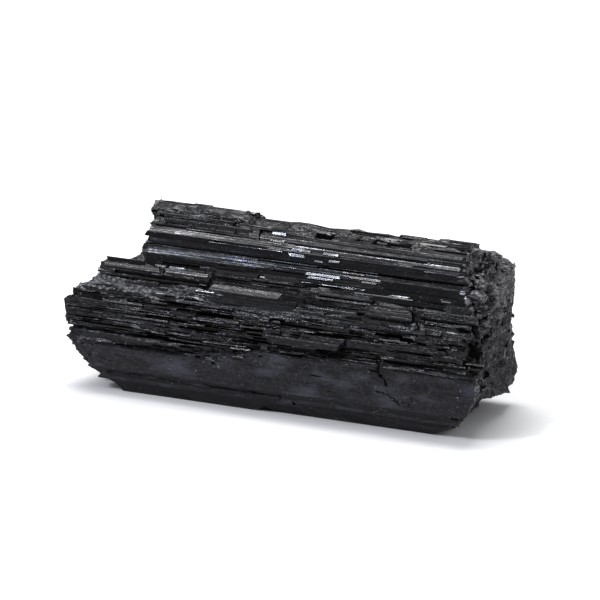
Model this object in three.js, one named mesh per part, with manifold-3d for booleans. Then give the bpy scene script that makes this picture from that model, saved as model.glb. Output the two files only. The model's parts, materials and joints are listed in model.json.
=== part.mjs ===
// A rough black tourmaline crystal, lying on a flat side.
// It grew as a bundle of parallel columns along X, joined all the way, and broke off at both ends,
// so it is one solid. Millimetres. +Z is up, and the origin is the middle of the base.

import * as THREE from 'three';
import { mergeVertices } from 'three/addons/utils/BufferGeometryUtils.js';
import Module from 'manifold-3d';

const wasm = await Module();
wasm.setup();

// Driving dimensions: the overall size
const LENGTH = 97;
const WIDTH = 32;
const HEIGHT = 38;

// The outermost faces
const LEFT = -LENGTH / 2;
const RIGHT = LENGTH / 2;
const FRONT = -WIDTH / 2;
const BACK = WIDTH / 2;
const TOP = HEIGHT;

// The flat base, which stops short of both broken ends
const BASE_FRONT = -13.4;
const BASE_BACK = 11;
const BASE_LEFT = -34.4;
const BASE_RIGHT = 38.2;

// Behind the front plate the right end is broken away below, and its underside slopes between these heights
const UNDERCUT_FRONT = 6.2;
const UNDERCUT_BACK = 4;

// Each column is a list of corners, and a corner is [y, z, x where it starts, x where it ends].
// Corners that start or end at different x give the column a slanted broken end.

// The broad flat plate that forms the lower front, with its chamfer down to the base
const frontPlate = [
    [
        [BASE_FRONT, 0, BASE_LEFT, BASE_RIGHT],
        [FRONT, 5.2, -41.3, 46.5],
        [-15.9, 10, -40.2, RIGHT],
        [-8, 10.6, -40, 47.8],
        [-6, 5, -39, 45],
        [-6, 0, -38, 40],
    ],
    [
        [-15.9, 9.4, -12, RIGHT],
        [-15.6, 11.6, -9, RIGHT],
        [-15.5, 13.8, 3, RIGHT],
        [-11, 14.6, 1, 47.4],
        [-8.4, 12, -9, 46.8],
        [-8, 9, -12, 47],
    ],
    [
        [-15.6, 9.6, -24, -9],
        [-15.3, 12, -10, -6],
        [-9, 12.4, -16, -5],
        [-9, 9, -22, -5],
    ],
    [
        [-14.3, 0, BASE_LEFT + 0.4, -3],
        [-15.8, 4, -37.4, 4],
        [-12, 4.4, -36, 5],
        [-11, 0, -34, -2],
    ],
];

// The ragged laths above the plate, which reach furthest at the left
const frontLaths = [
    [
        [-12.4, 4.4, -43.6, -34],
        [-13.8, 6.8, -44.8, -33],
        [-14.2, 9.8, -46.4, -30],
        [-5, 10, -45, -30],
        [-5, 3, -41, -32],
    ],
    [
        [-14.4, 9.4, -46.4, -4],
        [-14, 12.2, -47.2, 0],
        [-6, 13, -46, 4],
        [-6, 8, -44, 0],
    ],
    [
        [-13.6, 12.9, -47.8, 45.4],
        [-13, 15.4, LEFT, 45.8],
        [-6, 16, -46, 44],
        [-6, 12, -47, 44],
    ],
    [
        [-13.2, 15, LEFT, 14.6],
        [-12.6, 18.2, LEFT, 12.8],
        [-5, 19, -46, 12],
        [-5, 14.6, -46, 14],
    ],
    [
        [-12.7, 14.8, 8, 43.6],
        [-12.1, 18.4, 10, 44.4],
        [-5, 19, 8, 43],
        [-5, 14.6, 8, 43],
    ],
    [
        [-12.2, 17.8, -47.8, 43.4],
        [-11.2, 20.6, -46.8, 44.2],
        [-4, 21.4, -44, 43],
        [-4, 17, -46, 43],
    ],
];

// The worn middle of the front, with a ledge at the left and a thin plate left standing at the right
const middleColumns = [
    [
        [-11.4, 20.2, -45.8, 45.2],
        [-10.4, 23.6, -42.8, 44.6],
        [-2, 24.4, -41, 43],
        [-2, 19, -44, 43],
    ],
    [
        [-10.5, 24.4, -42.4, -16.4],
        [-10.1, 26.2, -41.8, -15.6],
        [-8.8, 27.2, -40, -16],
        [-3, 25.6, -37, -16],
        [-2, 23.6, -40, -16],
    ],
    [
        [-9.8, 23.4, -16.6, 45.6],
        [-9, 26.8, -16.2, 44.4],
        [-2, 27.4, -16, 42],
        [-2, 22.6, -16, 42],
    ],
    [
        [-11.7, 20.8, 19.6, 33],
        [-10.7, 25.6, 22.4, 31.4],
        [-8, 26.2, 23, 31],
        [-8, 20.4, 20, 32.6],
    ],
];

// The long striated columns of the upper front, cut off square at the right
const upperColumns = [
    [
        [-8.3, 26.6, -32.6, 43.4],
        [-7.6, 29.2, -32.8, 42.8],
        [-6.7, 30.9, -33.2, 42.4],
        [0, 31.6, -30, 42],
        [0, 26, -31, 42],
    ],
    [
        [-6.7, 31.2, -32.8, 42],
        [-6, 33.4, -31.8, 41.6],
        [-4.9, 34.8, -31.8, 41.2],
        [1, 35, -30, 42],
        [1, 30.6, -30, 42],
    ],
    [
        [-4.7, 34.7, -32.2, 41],
        [-3.6, 36, -32.2, 40.8],
        [-1.6, 36.4, -32, 40.6],
        [4, 35.6, -30, 42],
        [4, 33, -30, 42],
    ],
];

// The crest: a high block at the left, a low worn stretch, and a short prism at the right
const crest = [
    [
        [-3, 35.6, -32.4, -9.6],
        [-1.2, 37.1, -34, -10.6],
        [2.4, TOP, -34.9, -13],
        [5.4, 37, -34.4, -11],
        [6.2, 33, -32, -8],
    ],
    [
        [-1.8, 35.8, -12, 38.6],
        [1.2, 36.4, -11, 39.6],
        [4.6, 36.2, -11, 39],
        [6.4, 33, -12, 40],
    ],
    [
        [0.4, 35.8, 31.4, 39.8],
        [1.8, 36.9, 31.8, 39.4],
        [4.2, 36.8, 31.4, 40],
        [5.2, 35.2, 31.2, 40.4],
    ],
    [
        [1.8, 33.2, 37, 41.6],
        [3.2, 35.6, 37, 42.6],
        [6.8, 35, 37, 43.6],
        [7.4, 31, 37, 43.2],
    ],
];

// The columns behind the crest. They are shorter and stepped, and some end part of the way along.
const rearUpperColumns = [
    [
        [4, 35.6, -30.6, 18.4],
        [7.4, 34.4, -31.4, 16.2],
        [10.4, 32.2, -32, 15],
        [4, 29, -31, 18],
    ],
    [
        [4, 34.8, 12, 42.6],
        [8, 34, 12, 43.4],
        [10.4, 31.2, 12, 45.6],
        [4, 29, 12, 45],
    ],
    [
        [8.6, 32.6, -34.2, 40.2],
        [11.6, 31.8, -35.6, 39.4],
        [13.6, 28.6, -36, 41],
        [7, 26, -35, 41],
    ],
    [
        [10.8, 30, -37.4, -4.6],
        [13.6, 29.8, -38.2, -6.2],
        [15.4, 26.2, -38.8, -8],
        [10, 22, -38, -6],
    ],
    [
        [11.4, 29.4, -12, 44],
        [13.8, 28.6, -12, 43.8],
        [15, 25.4, -12, 43.4],
        [10, 22, -12, 44],
    ],
];

const rearColumns = [
    [
        [12.4, 26, -41, 43.2],
        [15, 25.4, -42.4, 43],
        [15.8, 22.4, -43, 42.6],
        [15.2, 18.6, -42, 42.6],
        [9, 19, -41, 43],
    ],
    [
        [12.4, 25.2, 8.6, 37.4],
        [15.8, 24.6, 10, 38.2],
        [BACK, 21.4, 12.4, 36.6],
        [12, 20, 11, 36],
    ],
    [
        [13.6, 19.4, -44.8, 43],
        [14.8, 18.4, -45.2, 42.8],
        [15.4, 13.6, -45.6, 43.4],
        [14.6, 11.4, -44, 43.4],
        [9, 12, -42, 43.4],
    ],
    [
        [13.4, 18.8, -44.6, 21.4],
        [15.6, 17.4, -44.2, 19.8],
        [BACK, 14.8, -44.8, 17],
        [12.6, 13.6, -44, 18],
    ],
    [
        [13, 12.8, -43, 43.2],
        [15.2, 11.2, -42.6, 43.6],
        [15.6, 7.6, -41.4, 43.8],
        [14, UNDERCUT_BACK, -38, 43.8],
        [8, 5, -38, 44],
    ],
    [
        [13.4, 12.2, -14.6, 33.6],
        [15.9, 10.6, -13, 35.2],
        [BACK, 8.4, -15.4, 36],
        [13, 6.6, -14, 34],
    ],
    [
        [8, 8, -38, 30],
        [14.4, 6.4, -39.2, 28.4],
        [14.6, 3.4, -38, 27],
        [BASE_BACK, 0, BASE_LEFT, 26],
        [6, 0, -36, 28],
    ],
];

// The heart of the bundle, seen only at the two broken ends
const heart = [
    [
        [-8, 0, -37, 36],
        [-9, 12, -44, 36],
        [7, 12, -43, 32],
        [8, 0, -36, 30],
    ],
    [
        [-6.6, UNDERCUT_FRONT, 26, 44.6],
        [-7, 14, 26, 45],
        [2, 15, 26, 44.2],
        [10, 12.6, 26, 44.8],
        [8.6, UNDERCUT_BACK, 26, 45.2],
    ],
    [
        [-7, 11, -45.6, 44.8],
        [-7, 22, -44.4, 45.4],
        [0, 26.4, -36.8, 46.4],
        [4, 24, -38.4, 46],
        [4, 10, -44.6, 44.6],
    ],
    [
        [2, 10, -43.2, 44.6],
        [2, 25, -38, 46.2],
        [11, 25.4, -38.4, 44.6],
        [13, 16, -42.8, 43.6],
        [12, 9, -42, 44.2],
    ],
    [
        [-7, 24, -33, 44.6],
        [-4, 32, -31, 43.8],
        [2, 34, -30.4, 43.8],
        [5, 33, -30.8, 44.6],
        [6, 23, -36.4, 46.4],
    ],
    [
        [3, 22, -37.2, 46.2],
        [4, 33, -31.4, 44.8],
        [9, 31, -33.4, 45.8],
        [12, 26, -37.6, 44.8],
        [11, 22, -39, 44.8],
    ],
];

// A prism between two slanted ends: extruded one unit long, then each end is moved to its own x
function column(corners) {
    const section = new THREE.Shape(corners.map(([y, z]) => new THREE.Vector2(y, z)));
    const geometry = new THREE.ExtrudeGeometry(section, { depth: 1, bevelEnabled: false });
    const position = geometry.attributes.position;
    for (let i = 0; i < position.count; i += 1) {
        const y = position.getX(i);
        const z = position.getY(i);
        const atEnd = position.getZ(i) > 0.5;
        const corner = nearestCorner(corners, y, z);
        position.setXYZ(i, atEnd ? corner[3] : corner[2], y, z);
    }
    return geometry;
}

function nearestCorner(corners, y, z) {
    const distance = (corner) => Math.hypot(corner[0] - y, corner[1] - z);
    return corners.reduce((best, corner) => (distance(corner) < distance(best) ? corner : best));
}

function toSolid(geometry) {
    const bare = geometry.clone();
    bare.deleteAttribute('normal');
    bare.deleteAttribute('uv');
    const merged = mergeVertices(bare);
    return new wasm.Manifold(new wasm.Mesh({
        numProp: 3,
        vertProperties: Float32Array.from(merged.attributes.position.array),
        triVerts: Uint32Array.from(merged.index.array),
    }));
}

function toGeometry(solid) {
    const mesh = solid.getMesh();
    const geometry = new THREE.BufferGeometry();
    geometry.setAttribute('position', new THREE.BufferAttribute(mesh.vertProperties, 3));
    geometry.setIndex(new THREE.BufferAttribute(mesh.triVerts, 1));
    geometry.computeVertexNormals();
    return geometry;
}

function tourmaline() {
    return new THREE.MeshStandardMaterial({ color: 0x141418, roughness: 0.35, metalness: 0 });
}

function crystal() {
    const groups = [
        frontPlate,
        frontLaths,
        middleColumns,
        upperColumns,
        crest,
        rearUpperColumns,
        rearColumns,
        heart,
    ];
    const solids = groups.flat().map((corners) => toSolid(column(corners)));
    const joined = solids.reduce((whole, solid) => whole.add(solid));
    const mesh = new THREE.Mesh(toGeometry(joined), tourmaline());
    mesh.name = 'tourmaline_crystal';
    return mesh;
}

const part = new THREE.Group();
part.add(crystal());

export default part;
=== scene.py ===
import json
import math
import random

import bmesh
import bpy
from mathutils import Matrix, Vector, noise
from mathutils.bvhtree import BVHTree

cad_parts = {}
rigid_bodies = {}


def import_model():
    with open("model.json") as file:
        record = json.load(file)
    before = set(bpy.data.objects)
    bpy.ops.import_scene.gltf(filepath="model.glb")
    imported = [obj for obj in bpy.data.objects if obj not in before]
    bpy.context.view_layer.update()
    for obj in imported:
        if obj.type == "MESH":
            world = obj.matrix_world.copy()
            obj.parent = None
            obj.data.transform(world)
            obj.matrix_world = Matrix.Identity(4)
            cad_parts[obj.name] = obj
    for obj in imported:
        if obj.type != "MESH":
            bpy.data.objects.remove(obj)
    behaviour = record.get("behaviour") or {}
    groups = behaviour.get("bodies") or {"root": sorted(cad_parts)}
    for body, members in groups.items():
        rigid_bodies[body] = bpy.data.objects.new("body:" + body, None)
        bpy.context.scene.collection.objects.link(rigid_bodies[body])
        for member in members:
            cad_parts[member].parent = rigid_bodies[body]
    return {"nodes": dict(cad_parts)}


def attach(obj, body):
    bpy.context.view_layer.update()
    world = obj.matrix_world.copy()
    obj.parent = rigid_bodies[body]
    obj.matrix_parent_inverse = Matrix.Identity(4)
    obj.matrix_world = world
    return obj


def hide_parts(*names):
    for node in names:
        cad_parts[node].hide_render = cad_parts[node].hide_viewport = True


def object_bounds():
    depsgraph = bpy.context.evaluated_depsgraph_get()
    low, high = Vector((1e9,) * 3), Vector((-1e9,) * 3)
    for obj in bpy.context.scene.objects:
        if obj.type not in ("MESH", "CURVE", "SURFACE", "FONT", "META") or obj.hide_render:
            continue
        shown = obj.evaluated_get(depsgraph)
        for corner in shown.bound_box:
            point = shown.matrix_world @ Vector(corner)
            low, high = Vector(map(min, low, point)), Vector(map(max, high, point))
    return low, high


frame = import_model()
cad_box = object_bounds()
scene = bpy.context.scene
random.seed(7)


# The bundle of columns. A black tourmaline grows as parallel prisms joined all the way, and this one
# broke off at both ends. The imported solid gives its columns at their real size. A copy of it is cut
# into small patches, and each patch stands out or falls back by the wear of its part of the crystal.
FINISH_NAMES = ("satin_plate", "grown_column", "worn_lath", "dark_break", "sugary_break_and_painted_light")
PLATE, COLUMN, WORN, BROKEN, SUGARY = range(len(FINISH_NAMES))

# Sizes on the crystal are in millimetres, and MM turns them into metres. These are how near two corners
# are one, how near a corner is on a cut, the patches, how far they shift lengthwise, and what lies flat
MM = 0.001
SAME_PLACE = 0.001
ON_THE_CUT = 0.01
PATCH_ALONG = 2.3
PATCH_ACROSS = 0.8
SHUFFLE = 0.45
RESTING_TO = 0.05

# Where one part of the crystal gives way to the next, as heights above the base
BASE_EDGE = 0.6
# Above this height the front plate's right end takes the lighter sugary finish, as painted light
PAINTED_LIGHT_EDGE_FROM = 3
CHAMFER_TOP = 5.4
BELT_TOP = 19.5
SHELF_BOTTOM = 20.2
SHELF_TOP = 24
UPPER_COLUMNS_FROM = 27
CREST_FROM = 35.3
# and as places from front to back
PLATE_FACE = -14.55
FRONT_EDGE = -12
SHELF_BACK = -8
UPPER_COLUMNS_FACE = -1.4
BACK_FROM = 2
# and along the crystal, where the crushed shelf ends
SHELF_END = -17
# A face turned further than this along the crystal is part of a broken end
END_FACING = 0.5
UNDERSIDE_FACING = -0.4
CHAMFER_FACING = -0.3

finishes = [bpy.data.materials.new(name) for name in FINISH_NAMES]
solid = frame["nodes"]["tourmaline_crystal"]
crystal = solid.copy()
crystal.data = solid.data.copy()
crystal.name = "crystal"
scene.collection.objects.link(crystal)
crystal.data.materials.clear()
for material in finishes:
    crystal.data.materials.append(material)


def cut_across(bm, axis, low, high, step):
    """Cuts the whole surface by planes square to one axis."""
    level = low + step / 2
    while level < high:
        spot = Vector((0, 0, 0))
        spot[axis] = level * MM
        facing = Vector((0, 0, 0))
        facing[axis] = 1
        everything = bm.verts[:] + bm.edges[:] + bm.faces[:]
        bmesh.ops.bisect_plane(bm, geom=everything, dist=ON_THE_CUT * MM, plane_co=spot, plane_no=facing)
        level += step


def grain(place, run, pitch, shift=0.0):
    """Smooth noise from -1 to 1 that is drawn out along the crystal: run mm along it, pitch mm across."""
    return noise.noise(Vector((place.x / run + shift, place.y / pitch, place.z / pitch))) * 1.6


def steps(value, count):
    """The same value in flat steps, as broken laths leave it."""
    return math.floor(value * count + 0.5) / count


def zone(place, normal):
    """Which finish the surface has at a place."""
    if abs(normal.x) > END_FACING:
        # Painted light: on the right end, the part above the shelf top and the front plate's end above a few
        # millimetres take the lighter sugary finish, and the rest the dark one, so the end is lighter high
        # up and darker low down as light falls
        light = place.z > SHELF_TOP or (place.y < FRONT_EDGE and place.z > PAINTED_LIGHT_EDGE_FROM)
        return SUGARY if place.x > 0 and light else BROKEN
    if place.y < PLATE_FACE or (place.y < FRONT_EDGE and place.z < CHAMFER_TOP):
        return PLATE
    upper_front = place.y < UPPER_COLUMNS_FACE and place.z > UPPER_COLUMNS_FROM
    if upper_front or place.z < BASE_EDGE:
        return COLUMN
    on_shelf = place.y < SHELF_BACK and SHELF_BOTTOM < place.z < SHELF_TOP
    if on_shelf and place.x < SHELF_END + 2 * grain(place, 3, 2):
        return SUGARY
    if place.y > BACK_FROM and grain(place, 30, 5) > -0.08:
        return COLUMN
    return WORN


def relief(place, normal):
    """How far the surface stands out here from the plain face of its column, in millimetres."""
    kind = zone(place, normal)
    if abs(normal.x) > END_FACING:
        low_down = min(1, 0.25 + place.z / 24) if normal.z > -0.2 else 0.2
        blocky = 0.55 * steps(grain(place, 3.5, 3.0), 2) + 0.2 * grain(place, 3.0, 3.4, 12)
        return low_down * (blocky + 0.3 * grain(place, 1.2, 1.3, 40))
    if kind == PLATE:
        return 0.16 * grain(place, 7, 3.5) + 0.1 * grain(place, 2.2, 1.4, 20)
    if kind == COLUMN:
        return 0.07 * grain(place, 40, 1.3) + 0.03 * grain(place, 11, 1.8, 10)
    if kind == SUGARY:
        return 0.3 * grain(place, 3, 1.6) + 0.2 * grain(place, 1.3, 1.1, 30)
    if normal.z < UNDERSIDE_FACING:
        return 0.15 * grain(place, 9, 1.8)
    if place.z > CREST_FROM:
        return 0.45 * grain(place, 4, 1.8) + 0.2 * grain(place, 1.6, 1.2, 30)
    ragged = steps(grain(place, 13, 1.9), 3)
    if place.z > BELT_TOP:
        return 0.3 * ragged + 0.25 * grain(place, 2.4, 1.3, 5)
    return 0.55 * ragged + 0.2 * grain(place, 3.5, 1.2, 5)


shape = bmesh.new()
shape.from_mesh(crystal.data)
bmesh.ops.remove_doubles(shape, verts=shape.verts, dist=SAME_PLACE * MM)
low, high = (Vector(corner) / MM for corner in cad_box)
for axis, step in ((0, PATCH_ALONG), (1, PATCH_ACROSS), (2, PATCH_ACROSS)):
    cut_across(shape, axis, low[axis], high[axis], step)
bmesh.ops.triangulate(shape, faces=shape.faces)
shape.normal_update()

# The chamfer under the plate has the plate's low relief, but it is given the darker grown-column finish as
# painted shade, because it faces down into the floor's shadow by the base
for face in shape.faces:
    middle = face.calc_center_median() / MM
    chamfer_painted_in_shade = middle.y < FRONT_EDGE and face.normal.z < CHAMFER_FACING
    face.material_index = COLUMN if chamfer_painted_in_shade else zone(middle, face.normal)
moves = []
for vert in shape.verts:
    place = vert.co / MM
    resting = place.z < RESTING_TO
    shuffle = Vector((SHUFFLE * grain(place, 1.1, 1.1, 70), 0, 0))
    out = Vector((0, 0, 0)) if resting else vert.normal * relief(place, vert.normal)
    moves.append((place + shuffle + out) * MM)
for vert, moved in zip(shape.verts, moves):
    vert.co = moved
shape.to_mesh(crystal.data)
outside = BVHTree.FromBMesh(shape)
shape.free()


# Ribs and laths. The columns' sides are covered in thinner prisms that run the same way, from long low
# ribs a hair high to short splinters, all of the same stone. Each is a rod of five to eight sides with its
# root sunk in the columns. What is broken out between them is made in the same way and cut out later.
grown = bpy.data.collections.new("grown")
gaps = bpy.data.collections.new("gaps")
chips = bpy.data.collections.new("chips")
for group in (grown, gaps, chips):
    scene.collection.children.link(group)
ALONG = Vector((1, 0, 0))
FAR = 80.0
LOOKS = {
    "front": (lambda x, z: (x, -FAR, z), (0, 1, 0)),
    "back": (lambda x, z: (x, FAR, z), (0, -1, 0)),
    "top": (lambda x, y: (x, y, FAR), (0, 0, -1)),
    "below": (lambda x, y: (x, y, -FAR), (0, 0, 1)),
    "left": (lambda y, z: (-FAR, y, z), (1, 0, 0)),
    "right": (lambda y, z: (FAR, y, z), (-1, 0, 0)),
}


def meet(start, heading):
    """Where a line first meets the columns, and how the face there is turned."""
    place, normal, _, _ = outside.ray_cast(start * MM, heading.normalized())
    if place is None:
        return None, None
    return place / MM, normal


def touch(side, a, b):
    """Where a straight look at one side meets the columns, a and b being the side's own two directions."""
    start, heading = LOOKS[side]
    return meet(Vector(start(a, b)), Vector(heading))


def keep(bm, group):
    """Turns a bit drawn in millimetres into a closed mesh, and puts it with the others of its group."""
    bmesh.ops.scale(bm, vec=(MM, MM, MM), verts=bm.verts)
    bmesh.ops.recalc_face_normals(bm, faces=bm.faces)
    mesh = bpy.data.meshes.new("bit")
    for material in finishes:
        mesh.materials.append(material)
    bm.to_mesh(mesh)
    bm.free()
    group.objects.link(bpy.data.objects.new("bit", mesh))


def squared(value, boxy):
    """A sine or cosine drawn out towards 1 or -1, so that a round rod comes out boxy."""
    return math.copysign(abs(value) ** boxy, value)


def lath(start, end, normal, width, thick, finish=WORN, sides=6, rings=1, rough=0.15, rake=1.0, ragged=0.0,
         boxy=0.6, tilt=0.0, group=grown, flat=False):
    """A broken prism from start to end. Its width lies across normal, and tilt turns it about its length.
    rough is how uneven its sides are, rake how far its ends slant, ragged how far its corners are moved
    along it, and a flat one has one grown face square to normal."""
    bm = bmesh.new()
    bmesh.ops.create_cone(bm, cap_ends=True, segments=sides, radius1=1, radius2=1, depth=1)
    for face in bm.faces:
        face.material_index = BROKEN if abs(face.normal.z) > 0.5 else finish
    lengthwise = [e for e in bm.edges if e.verts[0].co.z * e.verts[1].co.z < 0]
    bmesh.ops.subdivide_edges(bm, edges=lengthwise, cuts=rings, use_grid_fill=True)
    spin = random.uniform(-0.5, 0.5) * math.tau / sides
    corner_reach = [random.uniform(1 - 2 * rough, 1) for _ in range(sides)]
    lean = [(random.uniform(-rake, rake), random.uniform(-rake, rake)) for _ in range(2)]
    ring_width = [random.uniform(1 - rough, 1) for _ in range(rings + 2)]
    along = (end - start).normalized()
    across = normal.cross(along).normalized()
    outward = along.cross(across)
    c, s = math.cos(tilt), math.sin(tilt)
    across, outward = across * c + outward * s, outward * c - across * s
    # A corner never slides past the next ring, or the mesh would cut itself
    most = 0.4 * (end - start).length / (rings + 1)
    if flat:
        spin = math.tau / sides / 2
    for vert in bm.verts:
        angle = math.atan2(vert.co.y, vert.co.x)
        corner = round(angle / math.tau * sides) % sides
        ring = round((vert.co.z + 0.5) * (rings + 1))
        angle += spin
        reach = corner_reach[corner]
        w = squared(math.cos(angle), boxy) * width / 2 * reach * ring_width[ring]
        t = squared(math.sin(angle), boxy) * thick / 2 * (1 if flat else reach)
        slide = random.uniform(-ragged, ragged)
        if ring in (0, rings + 1):
            lean_across, lean_out = lean[0 if ring == 0 else 1]
            slide += w * lean_across + t * lean_out
        slide = max(-most, min(most, slide))
        vert.co = start.lerp(end, ring / (rings + 1)) + along * slide + across * w + outward * t
    keep(bm, group)


# A lath feels its way along the face under it: the stride, the drop that ends it, and how far short it stops
STRIDE = 1.5
DROP = 0.7
SHORT = 0.6
TOO_STEEP = 0.45


def lay(side, x, a, length, width, proud, deep=0.9, group=grown, skew=0.012, **kw):
    """A lath laid on a side of the columns, proud of the face and deep in it. It stops short of where the
    face under it ends. A slot is as high over the face as it is deep, and has no proud of its own."""
    place, normal = touch(side, x, a)
    if place is None or abs(normal.x) > TOO_STEEP:
        return
    normal = Vector((0, normal.y, normal.z)).normalized()
    reaches = []
    for way in (-1, 1):
        reach = 0.0
        want = length / 2 * random.uniform(0.6, 1.4)
        while reach < want:
            near, _ = touch(side, x + way * (reach + STRIDE), a)
            if near is None or (near - place - ALONG * way * (reach + STRIDE)).length > DROP:
                reach -= SHORT
                break
            reach += STRIDE
        reaches.append(way * min(reach, want))
    if reaches[1] - reaches[0] < width:
        return
    thick = proud + deep if group is grown else deep * 2
    centre = place + normal * (proud - thick / 2 if group is grown else 0)
    way = ALONG + normal.cross(ALONG) * random.uniform(-skew, skew)
    lath(centre + way * reaches[0], centre + way * reaches[1], normal, width, thick, group=group, **kw)


# Long low ribs: side, from, to (height, or depth on the top and below), how many, how high at most
RIBS_REACH = 47
RIBS = [
    ("front", 20, 27, 40, 0.12), ("front", 27, 36, 70, 0.07), ("back", 1, 31, 160, 0.16),
    ("top", -8, 0, 40, 0.07), ("top", 0, 16, 90, 0.16), ("below", -12, 11, 40, 0.05),
]
for side, start, end, count, high in RIBS:
    for _ in range(count):
        lay(side, random.uniform(-RIBS_REACH, RIBS_REACH), random.uniform(start, end),
            random.uniform(10, 60), random.uniform(0.4, 1.8), random.uniform(0.02, high), finish=COLUMN,
            rough=0.1)

# Short ragged laths and splinters: side, from, to, how many
LENGTHS = (2, 3, 4, 6, 9, 15)
SPLINTERS = [("front", 12.8, 20.5, 190), ("front", 20, 27, 70), ("back", 5, 22, 120), ("top", 2, 12, 50)]
for side, start, end, count in SPLINTERS:
    for _ in range(count):
        lay(side, random.uniform(-RIBS_REACH, RIBS_REACH), random.uniform(start, end),
            random.choice(LENGTHS), random.uniform(0.35, 1.3), random.uniform(0.1, 0.6), sides=5, rough=0.22,
            ragged=0.35, tilt=random.uniform(-0.5, 0.5), skew=0.04)

# Slots between the ragged laths: side, from, to, how many
SLOTS_REACH = 46
SLOTS = [("front", 13, 20, 45), ("back", 4, 24, 80), ("top", 2, 12, 30)]
for side, start, end, count in SLOTS:
    for _ in range(count):
        lay(side, random.uniform(-SLOTS_REACH, SLOTS_REACH), random.uniform(start, end),
            random.uniform(3, 14), random.uniform(0.25, 0.7), 0, deep=random.uniform(0.6, 1.6), group=gaps,
            sides=5, rough=0.2, ragged=0.4)


# The worn front. Its largest ledges, laths, slots and holes were struck and worn into it one by one, and
# the photograph shows where each is. They are laid where a look from the camera meets the columns. The
# camera stands to the right of the front and above it, far off, and CORNER is the front corner of the base.
AZIMUTH = math.radians(26)
ELEVATION = math.radians(16.4)
LENS = 400.0
SENSOR = 36.0
IMAGE = 600
PIXELS_PER_MM = 4.7
CORNER = Vector((-35.1, -13, 0))
CORNER_PIXEL = (122, 388.5)
SLOPE = math.atan(0.137)
FORESHORTENED = 0.908
ROOT = 1.2
rightward = Vector((math.cos(AZIMUTH), math.sin(AZIMUTH), 0))
backward = Vector((math.sin(AZIMUTH) * math.cos(ELEVATION), -math.cos(AZIMUTH) * math.cos(ELEVATION),
                   math.sin(ELEVATION)))
upward = backward.cross(rightward)
aim = (CORNER + rightward * (IMAGE / 2 - CORNER_PIXEL[0]) / PIXELS_PER_MM
       + upward * (CORNER_PIXEL[1] - IMAGE / 2) / PIXELS_PER_MM)
eye = aim + backward * (IMAGE / PIXELS_PER_MM * LENS / SENSOR)


def seen(along, height):
    """The point of the columns that the camera sees. along and height are millimetres in the picture,
    from the front corner of the base, along the crystal and square to it."""
    a = along * math.cos(SLOPE) + height * math.sin(SLOPE)
    b = height * math.cos(SLOPE) - along * math.sin(SLOPE)
    return meet(eye, CORNER + rightward * a + upward * b - eye)


def seen_run(start, end, height):
    """A run along the crystal, seen from start to end at one height."""
    place, normal = seen((start + end) / 2, height)
    half = ALONG * (end - start) / 2 / FORESHORTENED
    flat = Vector((0, normal.y, normal.z))
    normal = flat.normalized() if flat.length > 0.3 else Vector((0, -1, 0))
    return place - half, place + half, normal


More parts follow.
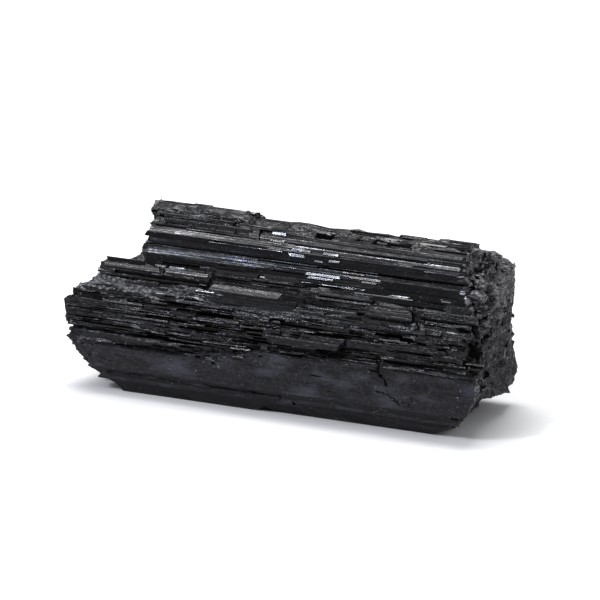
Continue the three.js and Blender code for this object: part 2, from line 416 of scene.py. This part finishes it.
# Laths that stand out: from, to, height, width, how far it stands out, and which way its face looks, in
# degrees from straight ahead (0) to straight up (90)
LEDGES = [
    (-7.6, 4.9, 25.85, 1.3, 0.5, 39), (5.9, 14.7, 26, 1.2, 0.5, 39), (-6.6, 1.5, 27, 1.2, 0.25, 18),
    (2, 14.2, 27.2, 0.9, 0.2, 14), (15.8, 31.4, 23.9, 2.3, 0.6, 39.5), (16, 34, 25.2, 0.9, 0.3, 24),
    (50.2, 58.5, 23.6, 3.2, 0.5, 42), (38.6, 50, 26, 1.5, 0.3, 42), (16, 34, 22.1, 2.4, 0.25, 8),
    (15, 25.5, 27.5, 1.3, 0.4, 4), (26.5, 34.5, 27.7, 1.1, 0.35, 4),
]
LATHS = [
    (-1, 8, 15.2, 0.6, 0.8, 37), (-4.6, 1, 14.2, 0.5, 0.6, 37), (5, 7.8, 12.7, 0.7, 0.6, 30),
    (8.5, 13.6, 13, 0.7, 0.7, 30), (-6, 2, 18, 0.8, 0.5, 37), (-12, -5, 17.5, 1.1, 0.35, 16),
    (-11, -3, 16.2, 1.6, 0.3, 8), (-6, 1, 16.3, 1, 0.4, 12), (9.8, 12.1, 21, 0.5, 0.5, 37),
    (2, 8, 13.8, 1, 0.4, 10), (-12.5, -6, 14.6, 1.3, 0.3, 8), (-10, -4, 12.8, 1.2, 0.3, 8),
    (11.8, 23.6, 15.5, 1, 0.9, 26), (13, 20, 16.8, 1, 0.9, 24), (20.3, 23, 16.9, 0.6, 0.6, 37),
    (15.5, 18, 13.2, 1, 0.6, 14), (16.3, 18, 10.9, 1.2, 0.5, 14), (16.5, 19.2, 8.7, 0.9, 0.4, 26),
    (22, 26, 11.5, 0.7, 0.7, 37), (22.5, 25, 9.9, 0.7, 0.4, 24), (28.2, 29.6, 12.6, 1.3, 0.6, 20),
    (27, 29, 18.5, 0.9, 0.6, 28), (29, 35, 19.2, 1, 0.6, 24), (35.2, 40.5, 21.6, 0.8, 0.5, 26),
    (36.2, 39.9, 20.3, 0.9, 0.6, 36), (30, 31.7, 16.4, 1, 0.5, 14), (33.8, 35.6, 15.3, 0.9, 0.6, 28),
    (39, 51, 24.65, 0.6, 0.5, 37), (44, 48.5, 25.5, 0.6, 0.4, 37), (37.5, 44, 26.2, 1.4, 0.25, 26),
    (49.6, 57.8, 21.4, 1.3, 0.4, 8), (48.5, 58.2, 20.3, 1.5, 0.3, 10), (61.7, 72.6, 24.4, 2, 0.6, 18),
    (46, 62, 16, 2.4, 0.4, 6), (36, 45.4, 16.1, 1.4, 0.8, 14), (29.6, 44.6, 14.6, 2.3, 0.9, 8),
    (55, 61, 14.9, 0.9, 0.3, 12), (68, 75.2, 15, 0.7, 0.6, 37), (64.2, 65.8, 20.4, 1, 0.6, 36),
    (66.8, 68.3, 17.9, 0.8, 0.6, 36), (68.5, 76, 26.5, 0.9, 0.3, 20), (62, 67, 16.6, 0.9, 0.5, 22),
    (70, 75, 17.5, 1.3, 0.4, 12), (67, 71.5, 23.8, 0.5, 0.5, 36), (2.5, 22, 38.9, 1.3, 0.3, 22),
    (2, 19, 37.8, 1.2, 0.45, 16), (4, 23, 36.8, 1.2, 0.35, 12),
]
COLUMN_RIBS = [
    (3.7, 24.9, 28.9, 1.1, 0.3, 16), (16.5, 22.8, 28.4, 0.5, 0.35, 20), (1, 14, 33.6, 1.3, 0.2, 14),
    (31.4, 34.9, 33, 1.0, 0.35, 33), (32, 35.8, 34.2, 0.7, 0.3, 30), (27.4, 30.3, 37.1, 0.8, 0.3, 32),
    (27.3, 30.3, 35.5, 0.7, 0.3, 37), (39, 42.2, 34.2, 0.7, 0.3, 32), (40.2, 42.2, 32.8, 0.7, 0.3, 31),
    (36.8, 39, 32.4, 0.6, 0.3, 30), (35.7, 42.3, 29.5, 0.9, 0.4, 33), (36.2, 41.8, 28.8, 0.7, 0.4, 30.5),
    (44.5, 51, 30, 0.7, 0.3, 36), (47.5, 50.4, 29.3, 0.6, 0.3, 37), (43.5, 47.8, 30.85, 0.6, 0.3, 37),
    (52, 68, 29.4, 2.2, 0.15, 14), (46, 69, 36.2, 1.2, 0.12, 22), (30, 60, 33.2, 1.6, 0.1, 18),
    (58, 69, 34, 1, 0.1, 22), (62.4, 69.3, 39.4, 1.5, 0.3, 42),
]
PLATE_RIBS = [
    (-4.5, 36, 2.85, 3.2, 0.06, 2), (12, 60, 4.9, 1.2, 0.08, 4), (-2, 20, 5.6, 1.0, 0.07, 6),
    (30, 71, 2.4, 1.4, 0.06, 0), (24, 44, 6.2, 0.8, 0.05, 10),
]
for rows, finish in ((LEDGES, COLUMN), (LATHS, WORN), (COLUMN_RIBS, COLUMN), (PLATE_RIBS, PLATE)):
    for start, end, height, width, proud, facing in rows:
        a, b, _ = seen_run(start, end, height)
        outward = Vector((0, -math.cos(math.radians(facing)), math.sin(math.radians(facing))))
        thick = proud + ROOT
        inset = outward * (proud - thick / 2)
        lath(a + inset, b + inset, outward, width, thick, finish=finish, sides=8, rings=3, rough=0.06,
             rake=0.8, ragged=0.15, boxy=0.35, flat=True)

# Slots and holes: from, to, height, width, depth
HOLLOWS = [
    (-5, 15.9, 24.55, 1.1, 2.0), (5.2, 12.5, 19.5, 0.7, 2.0), (12.5, 15, 19.6, 0.5, 1.2),
    (4, 8.6, 18, 0.4, 1.2), (9.2, 13.5, 18.35, 0.9, 1.5), (1, 9.5, 16.8, 0.4, 1.4),
    (8, 12, 16.1, 1.1, 1.2), (-5.5, 5, 12.35, 0.4, 1.5), (-5.5, 6, 11.6, 0.8, 1.5),
    (5, 16, 11.7, 0.7, 1.7), (17, 24, 11.9, 0.7, 1.4), (10, 18.4, 14.6, 0.8, 2.0),
    (-10.5, -6, 13.6, 0.5, 1.0), (-9.2, -7.2, 19.5, 0.5, 0.8), (6.2, 8.6, 20.7, 0.4, 1.0),
    (9.3, 15, 20.65, 0.35, 1.0), (4.8, 13, 27.8, 0.4, 1.2), (-2.8, 0.6, 9.2, 0.5, 0.9),
    (0.6, 4.2, 9.3, 0.35, 0.7), (5.6, 9, 9.1, 0.45, 0.9), (10, 15, 9.5, 0.4, 0.8),
    (11, 14, 10.6, 0.8, 0.9), (1.3, 2.6, 38.4, 0.8, 1.2), (3, 4, 37.5, 0.8, 1.2),
    (2.4, 9, 35.6, 0.6, 1.1), (9, 24, 35.35, 0.4, 0.7), (2.6, 8.5, 36.3, 0.35, 0.9),
    (11, 12.3, 38.3, 0.6, 0.8), (13.5, 15.8, 38.4, 0.9, 0.9), (13.4, 21.4, 18.1, 1.15, 3.0),
    (14.2, 15.7, 23.4, 1.3, 1.6), (24.5, 27.4, 37.2, 1.8, 2.0), (27.4, 30, 37.8, 0.4, 0.8),
    (16.5, 18.5, 28.85, 0.4, 0.9), (10, 13, 28, 0.35, 1.0), (12.5, 14.7, 26.6, 0.35, 0.8),
    (16, 24, 26.15, 0.35, 0.9), (24, 36, 26.45, 0.45, 1.3), (25.5, 34, 25.85, 0.35, 1.0),
    (28, 35, 29.25, 0.35, 0.9), (25, 38, 31.05, 0.4, 1.3), (31, 35, 33.55, 0.3, 0.6),
    (15.3, 16.5, 33.7, 0.7, 0.8), (23.6, 28, 16.1, 1.0, 2.2), (24.6, 28, 15.15, 0.7, 2.0),
    (23.8, 25.7, 16.85, 0.5, 1.3), (22, 27.5, 13.4, 0.6, 1.1), (22, 27, 12, 0.5, 1.1),
    (30.5, 33.5, 15.5, 0.7, 1.0), (31.5, 37, 18.5, 0.8, 1.6), (14.5, 15.6, 8.9, 0.8, 0.9),
    (18, 19, 7.9, 0.7, 0.8), (27.8, 28.6, 10.8, 0.6, 0.8), (36.5, 40.4, 37.8, 3.4, 2.2),
    (48.8, 51.8, 38.3, 4.2, 2.6), (51.4, 56.6, 38, 4.6, 2.8), (45.3, 47.2, 38.3, 2.4, 1.6),
    (38, 62, 31.25, 0.55, 1.8), (62, 69, 31.4, 0.45, 1.4), (46, 53, 35.2, 0.35, 0.8),
    (53, 69, 35.3, 0.3, 0.6), (35.5, 38.5, 27, 1.4, 1.6), (38.3, 43, 27.4, 0.8, 1.4),
    (44, 48, 25.15, 0.3, 1.0), (50, 51, 25.3, 0.3, 0.8), (35.7, 38.5, 23.3, 0.6, 1.0),
    (38.5, 49, 23.2, 0.5, 0.9), (47.5, 49.2, 22.6, 1.0, 1.4), (52, 55.5, 22.7, 0.35, 0.8),
    (58.6, 60.2, 23.5, 2.0, 1.8), (39.5, 47, 17.35, 0.45, 1.7), (46.2, 49.5, 18.5, 1.2, 1.6),
    (51.8, 57.5, 18.85, 0.9, 2.4), (53, 57, 17.5, 0.5, 1.1), (57, 60, 18.4, 1.1, 1.9),
    (59, 63, 18, 1.0, 1.8), (40.4, 46.8, 13.6, 2.2, 2.8), (45, 54, 14.25, 0.6, 2.0),
    (54.5, 67, 13.3, 1.1, 1.5), (46.5, 53, 12.8, 0.6, 0.8), (60.3, 61.8, 39.3, 0.9, 0.9),
    (62.1, 69.3, 38.15, 1.0, 2.4), (70, 71.7, 31.35, 0.9, 1.6), (72.9, 75, 25.2, 1.3, 1.4),
    (62.2, 67.5, 22.2, 0.45, 1.4), (69, 74, 22, 1.4, 2.2), (73.5, 76.5, 21.4, 1.1, 2.0),
    (67.5, 72, 18.6, 0.6, 1.3), (61.8, 66, 25.7, 0.5, 1.0), (70.2, 71.7, 3.1, 1.0, 1.3),
    (65.5, 67.5, 17.4, 0.8, 1.2), (75.6, 76.8, 13.2, 2.6, 2.6),
]
for start, end, height, width, depth in HOLLOWS:
    a, b, normal = seen_run(start, end, height)
    lath(a, b, normal, width, depth * 2, rings=3, rough=0.22, rake=0.6, ragged=0.2, boxy=0.9, group=gaps)


# Crumbs. Where the stone was crushed or broke across the columns it is sugary, a crust of angular grains
# half a millimetre across, on both ends and in patches on the worn front and the crest. Cracks across the
# laths and the plate are rows of the same small chips, broken out.
def crumb(place, normal, size, drawn=1.0, deep=0.6, finish=BROKEN, group=grown):
    """An angular grain at a place. drawn is how much longer it is along the crystal, and deep is how far it
    reaches along normal, both against its size."""
    bm = bmesh.new()
    bmesh.ops.create_icosphere(bm, subdivisions=1, radius=1)
    turn = normal.to_track_quat("Z", "Y").to_matrix() @ Matrix.Rotation(random.uniform(0, math.tau), 3, "Z")
    stretch = (random.uniform(0.7, 1.3), random.uniform(0.7, 1.3), deep * random.uniform(0.75, 1.3))
    for face in bm.faces:
        face.material_index = finish
    for vert in bm.verts:
        k = size * random.uniform(0.5, 1.2)
        off = turn @ Vector([c * s * k for c, s in zip(vert.co, stretch)])
        off.x *= drawn
        vert.co = place + off
    keep(bm, group)


# Width, depth, then the points each crack goes through. Its chips overlap, and stray a little from its line
CHIP_PITCH = 0.45
STRAY = 0.15
CRACKS = [
    (0.7, 1.4, [(6.3, 27.3), (5.5, 26), (5.3, 24.6), (4.7, 22.4)]),
    (0.5, 0.8, [(24.7, 35.5), (24.6, 37.3)]),
    (0.4, 0.6, [(19.2, 35.5), (19.7, 36.8)]),
    (0.6, 1.2, [(0, 18.8), (1.6, 19.3), (3, 20.2)]),
    (1.2, 1.6, [(52.9, 14.2), (53.5, 12.6), (53.4, 11.2), (54.2, 9.9)]),
    (0.8, 1.0, [(54.2, 9.9), (55.1, 9.3), (55.8, 8)]),
    (0.6, 0.6, [(52, 11), (53.6, 10.8)]),
    (0.55, 0.4, [(53.7, 6.7), (55.4, 6.6), (57, 5.9)]),
    (0.8, 0.5, [(57, 5.9), (58, 5.3), (59.2, 4.4)]),
    (0.5, 0.9, [(28, 11.7), (30.5, 12.3), (33.5, 12.6), (37, 12.8)]),
    (0.6, 0.9, [(61.8, 22.6), (62, 25)]),
    (1.6, 1.8, [(71.4, 33.9), (72.8, 35.7), (75.6, 37.6)]),
    (0.5, 1.0, [(78.3, 24.5), (77.9, 28.5)]),
    (1.4, 1.4, [(70.8, 19.5), (73, 19.9), (75.5, 21)]),
]
for width, depth, points in CRACKS:
    for start, end in zip(points, points[1:]):
        count = math.ceil(math.dist(start, end) / (width * CHIP_PITCH))
        for i in range(count):
            along = start[0] + (end[0] - start[0]) * i / count + random.uniform(-STRAY, STRAY) * width
            height = start[1] + (end[1] - start[1]) * i / count + random.uniform(-STRAY, STRAY) * width
            place, normal = seen(along, height)
            if place is not None:
                crumb(place, normal, width * random.uniform(0.4, 0.65), deep=2 * depth / width, group=chips)

# Shallow scuffs all over the satin plate
SCUFFS = 70
for _ in range(SCUFFS):
    place, normal = seen(random.uniform(-6, 71), random.uniform(3, 10.5))
    if place is not None and place.y < FRONT_EDGE:
        crumb(place, normal, random.uniform(0.25, 0.9), random.uniform(1, 3), deep=random.uniform(0.1, 0.3),
              finish=PLATE, group=chips)

# From, to along the picture, from, to height, how many crumbs, their size at most, their finish
SMALLEST = 0.18
CRUSHED = [
    (-10, 15.5, 20.6, 23.6, 150, 0.45, SUGARY), (58, 62, 19, 22, 25, 0.5, SUGARY),
    (62, 69, 15, 21.5, 70, 0.6, BROKEN), (16, 30, 8.5, 12, 60, 0.5, BROKEN),
    (30, 60, 37.8, 39.2, 70, 0.5, BROKEN), (2, 24, 36, 39, 60, 0.6, BROKEN),
    (-12, 0, 18, 21, 50, 0.5, WORN), (35, 41, 20, 22, 30, 0.45, SUGARY),
    (32, 37.5, 37.5, 38.8, 30, 0.5, SUGARY), (60, 72, 26, 28, 30, 0.5, WORN),
    # The crumbs high on the right end take the lighter sugary finish, in part as painted light
    (-13, -8, 5, 12, 50, 0.6, PLATE), (70, 78.5, 26, 38, 120, 0.9, SUGARY),
    (68, 77, 15, 25, 60, 0.8, BROKEN), (74, 77.5, 5, 13, 40, 0.35, BROKEN),
    (56, 60, 37.5, 39, 20, 0.5, SUGARY),
]
for x0, x1, z0, z1, count, size, finish in CRUSHED:
    for _ in range(count):
        place, normal = seen(random.uniform(x0, x1), random.uniform(z0, z1))
        if place is not None:
            crumb(place, normal, random.uniform(SMALLEST, size), 1.4, finish=finish)

# The crust on both ends. The right end's is sugary high up and takes the lighter finish there as painted
# light, with the dark finish low down as painted shade, and low down both have finer grains
CRUST = 300
CRUST_SIZES = (0.3, 0.4, 0.5, 0.6, 0.9)
FINE_TO = 12
PAINTED_LIGHT_FROM = 22
for side, finish in (("left", BROKEN), ("right", SUGARY)):
    for _ in range(CRUST):
        y, z = random.uniform(-16, 16), random.uniform(1.5, 37.5)
        size = random.choice(CRUST_SIZES)
        place, normal = touch(side, y, z)
        under, _ = touch(side, y, z - 1.2)
        if place is not None and under is not None and abs(normal.x) > 0.4:
            crumb(place, normal, size if z > FINE_TO else size * 0.6,
                  finish=finish if z > PAINTED_LIGHT_FROM else BROKEN)

# Whole chunks of column ends that still stand at the right, between the square-cut columns and the end
# The chunks stand high on the right end and take its lighter sugary finish, in part as painted light
CHUNKS = [
    (71.8, 29.5, 1.7), (74.3, 31.5, 2.0), (72.3, 32.3, 1.3), (76.3, 29.5, 1.6), (75.8, 34.3, 1.8),
    (73.2, 27.6, 1.5), (77.2, 36.3, 1.4), (70.9, 38.9, 0.9), (74.3, 38.3, 1.7), (76.6, 26.6, 1.3),
    (74.6, 24.2, 1.2), (70.8, 36, 1.0),
]
for along, height, size in CHUNKS:
    place, normal = seen(along, height)
    if place is not None:
        crumb(place, normal, size, 1.5, deep=0.9, finish=SUGARY)


# Joining. The stone is one, so every rib, lath and crumb is joined to the columns, and the slots are cut
# out of them all. A slab cut from below keeps the base flat, and what the slots cut loose is gone. The
# cutters cross each other, and the solver takes such ones only a handful at a time.
HANDFUL = 24
SLAB = (140, 80, 20)
slab = bmesh.new()
bmesh.ops.create_cube(slab, size=1)
bmesh.ops.scale(slab, vec=SLAB, verts=slab.verts)
bmesh.ops.translate(slab, vec=(0, 0, -SLAB[2] / 2), verts=slab.verts)
for face in slab.faces:
    face.material_index = COLUMN
keep(slab, gaps)


def combine(operation, group, handful):
    """Joins a group's bits to the crystal or cuts them out of it, a handful at a time."""
    bits = list(group.objects)
    for first in range(0, len(bits), handful):
        few = bpy.data.collections.new("few")
        scene.collection.children.link(few)
        for bit in bits[first:first + handful]:
            few.objects.link(bit)
        change = crystal.modifiers.new(operation, "BOOLEAN")
        change.operation = operation
        change.solver = "MANIFOLD"
        change.operand_type = "COLLECTION"
        change.collection = few
        joined = crystal.evaluated_get(bpy.context.evaluated_depsgraph_get())
        mesh = bpy.data.meshes.new_from_object(joined)
        crystal.modifiers.clear()
        crystal.data = mesh
        bpy.data.collections.remove(few)
    for bit in bits:
        bpy.data.meshes.remove(bit.data)
    bpy.data.collections.remove(group)


combine("UNION", grown, len(grown.objects))
combine("DIFFERENCE", chips, HANDFUL)
combine("DIFFERENCE", gaps, HANDFUL)

# Every lump of joined faces but the largest was cut loose
whole = bmesh.new()
whole.from_mesh(crystal.data)
waiting = set(whole.faces)
lumps = []
while waiting:
    lump = [waiting.pop()]
    rim = list(lump)
    while rim:
        for edge in rim.pop().edges:
            for face in edge.link_faces:
                if face in waiting:
                    waiting.remove(face)
                    lump.append(face)
                    rim.append(face)
    lumps.append(lump)
lumps.sort(key=len)
for lump in lumps[:-1]:
    bmesh.ops.delete(whole, geom=lump, context="FACES")
whole.to_mesh(crystal.data)
whole.free()
for face in crystal.data.polygons:
    face.use_smooth = False


# The finish. Schorl is black glass: grown faces shine along fine striae, the plate is satin with scuffs
# and dust in it, worn laths glitter, and the sugary breaks are greyer, because each grain scatters light.
# All five are one stone, and differ in how it grew, broke and wore. The sugary one also paints light high on
# the right end, and the grown one paints shade on the chamfer.
REFRACTION = 1.62
SHINE = 0.32
MOTE = (0.3, 0.3, 0.32)


def schorl(material, tint, dusty, hazy, gloss, striae, grains, dust):
    """tint, dusty and hazy are the colours of clean stone, of its specks and of its larger worn patches.
    gloss is the roughness from, to. striae is (run, pitch, height) in mm, grains is (size, height), and dust
    is how many motes lie on it."""
    material.use_nodes = True
    tree = material.node_tree
    link = tree.links.new
    stone = tree.nodes["Principled BSDF"]
    stone.inputs["IOR"].default_value = REFRACTION
    stone.inputs["Specular IOR Level"].default_value = SHINE
    where = tree.nodes.new("ShaderNodeTexCoord").outputs["Object"]

    def texture(kind, run, pitch, detail):
        """A noise with cells run mm long and pitch mm across."""
        mapping = tree.nodes.new("ShaderNodeMapping")
        mapping.inputs["Scale"].default_value = (1 / (run * MM), 1 / (pitch * MM), 1 / (pitch * MM))
        link(where, mapping.inputs["Vector"])
        node = tree.nodes.new(kind)
        node.inputs["Scale"].default_value = 1.0
        node.inputs["Detail"].default_value = detail
        link(mapping.outputs["Vector"], node.inputs["Vector"])
        return node

    def spread(value, low, high, to_low, to_high):
        """A value's range from low to high, spread over another range."""
        node = tree.nodes.new("ShaderNodeMapRange")
        node.inputs["From Min"].default_value = low
        node.inputs["From Max"].default_value = high
        node.inputs["To Min"].default_value = to_low
        node.inputs["To Max"].default_value = to_high
        link(value, node.inputs["Value"])
        return node.outputs["Result"]

    def raised(height, distance, under=None):
        """A bump of so many mm, over another bump or over the mesh itself."""
        node = tree.nodes.new("ShaderNodeBump")
        node.inputs["Strength"].default_value = 1.0
        node.inputs["Distance"].default_value = distance * MM
        link(height, node.inputs["Height"])
        if under:
            link(under, node.inputs["Normal"])
        return node.outputs["Normal"]

    def mixed(below, colour, amount):
        """One colour laid over another where amount is high."""
        node = tree.nodes.new("ShaderNodeMix")
        node.data_type = "RGBA"
        if isinstance(below, tuple):
            node.inputs["A"].default_value = (*below, 1)
        else:
            link(below, node.inputs["A"])
        node.inputs["B"].default_value = (*colour, 1)
        link(amount, node.inputs["Factor"])
        return node.outputs["Result"]

    run, pitch, height = striae
    size, grain_height = grains
    lines = texture("ShaderNodeTexNoise", run, pitch, 5)
    cells = texture("ShaderNodeTexVoronoi", size * 1.5, size, 0)
    cells.feature = "F1"
    normal = raised(lines.outputs["Fac"], height)
    normal = raised(cells.outputs["Distance"], grain_height, normal)
    link(normal, stone.inputs["Normal"])

    patches = texture("ShaderNodeTexNoise", 4, 1.6, 4)
    link(spread(patches.outputs["Fac"], 0.35, 0.65, *gloss), stone.inputs["Roughness"])

    specks = texture("ShaderNodeTexNoise", 0.9, 0.5, 4)
    motes = texture("ShaderNodeTexNoise", 0.45, 0.35, 1)
    mottles = texture("ShaderNodeTexNoise", 7, 3, 5)
    base = mixed(tint, dusty, spread(specks.outputs["Fac"], 0.45, 0.7, 0, 1))
    base = mixed(base, hazy, spread(mottles.outputs["Fac"], 0.48, 0.68, 0, 0.8))
    base = mixed(base, MOTE, spread(motes.outputs["Fac"], 0.79 - dust, 0.83 - dust, 0, 1))
    link(base, stone.inputs["Base Color"])


schorl(finishes[PLATE], tint=(0.005, 0.005, 0.007), dusty=(0.026, 0.026, 0.034), hazy=(0.06, 0.06, 0.08),
       gloss=(0.26, 0.46), striae=(9, 0.8, 0.08), grains=(1.2, 0.07), dust=0.045)
schorl(finishes[COLUMN], tint=(0.004, 0.004, 0.005), dusty=(0.014, 0.014, 0.018), hazy=(0.012, 0.012, 0.016),
       gloss=(0.13, 0.26), striae=(40, 0.4, 0.05), grains=(0.9, 0.02), dust=0.05)
schorl(finishes[WORN], tint=(0.004, 0.004, 0.005), dusty=(0.03, 0.03, 0.034), hazy=(0.02, 0.02, 0.022),
       gloss=(0.16, 0.36), striae=(5, 0.4, 0.16), grains=(0.7, 0.07), dust=0.04)
schorl(finishes[BROKEN], tint=(0.012, 0.012, 0.014), dusty=(0.08, 0.08, 0.085), hazy=(0.05, 0.05, 0.055),
       gloss=(0.2, 0.4), striae=(1.2, 0.4, 0.1), grains=(0.5, 0.22), dust=0.05)
# The sugary finish is light grey: its grains scatter light, and where it lies high on the right end it is
# painted light as well
schorl(finishes[SUGARY], tint=(0.045, 0.045, 0.048), dusty=(0.32, 0.32, 0.33), hazy=(0.2, 0.2, 0.205),
       gloss=(0.2, 0.4), striae=(1.2, 0.4, 0.12), grains=(0.5, 0.22), dust=0.12)
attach(crystal, "root")
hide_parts("tourmaline_crystal")


# The floor and the lamps. A plain white sheet, a broad soft lamp high behind the crystal, a soft lamp, a
# bare bulb and a small blue window at the front left that make the glints, a weak soft lamp that reaches
# the right end, and pale walls all round.
FLOOR_HALF = 3.0
sheet = bmesh.new()
bmesh.ops.create_grid(sheet, x_segments=1, y_segments=1, size=FLOOR_HALF)
floor = bpy.data.objects.new("floor", bpy.data.meshes.new("floor"))
sheet.to_mesh(floor.data)
sheet.free()
scene.collection.objects.link(floor)
paper = bpy.data.materials.new("paper")
paper.use_nodes = True
paper_shader = paper.node_tree.nodes["Principled BSDF"]
paper_shader.inputs["Base Color"].default_value = (0.8, 0.8, 0.81, 1)
paper_shader.inputs["Roughness"].default_value = 0.9
floor.data.materials.append(paper)

LIT_SPOT = Vector((0, 0, 0.02))


def lamp(name, place, size, radiance, colour=(1, 1, 1)):
    """A flat lamp at a place in metres, turned to the crystal. radiance is how bright its face looks."""
    light = bpy.data.lights.new(name, "AREA")
    light.shape = "RECTANGLE"
    light.size, light.size_y = size
    light.energy = radiance * math.pi * size[0] * size[1]
    light.color = colour
    ob = bpy.data.objects.new(name, light)
    scene.collection.objects.link(ob)
    away = Vector(place) - LIT_SPOT
    ob.matrix_world = Matrix.Translation(place) @ away.to_track_quat("Z", "Y").to_matrix().to_4x4()


lamp("overhead", (-0.12, 0.28, 0.75), (0.5, 0.4), 9.5)
lamp("front_soft", (-0.26, -0.368, 0.463), (0.3, 0.26), 4.0)
lamp("front_bulb", (-0.248, -0.37, 0.437), (0.03, 0.03), 280.0)
lamp("window", (-0.248, -0.398, 0.41), (0.025, 0.02), 130.0, (0.2, 0.4, 1.0))
lamp("end_soft", (0.55, -0.15, 0.3), (0.4, 0.3), 2.2)
world = bpy.data.worlds.new("walls")
scene.world = world
world.use_nodes = True
walls = world.node_tree.nodes["Background"]
walls.inputs["Color"].default_value = (0.97, 0.985, 1, 1)
walls.inputs["Strength"].default_value = 0.5
scene.view_settings.view_transform = "Standard"
scene.view_settings.gamma = 0.8


# The camera. It stands where the photograph was taken from, far off with a long lens, at the place that
# the worn front was laid from.
camera_data = bpy.data.cameras.new("camera")
camera_data.lens = LENS
camera_data.sensor_width = SENSOR
camera_data.clip_end = 20
camera = bpy.data.objects.new("camera", camera_data)
scene.collection.objects.link(camera)
turned = Matrix((rightward, upward, backward)).transposed().to_4x4()
camera.matrix_world = Matrix.Translation(eye * MM) @ turned
scene.camera = camera
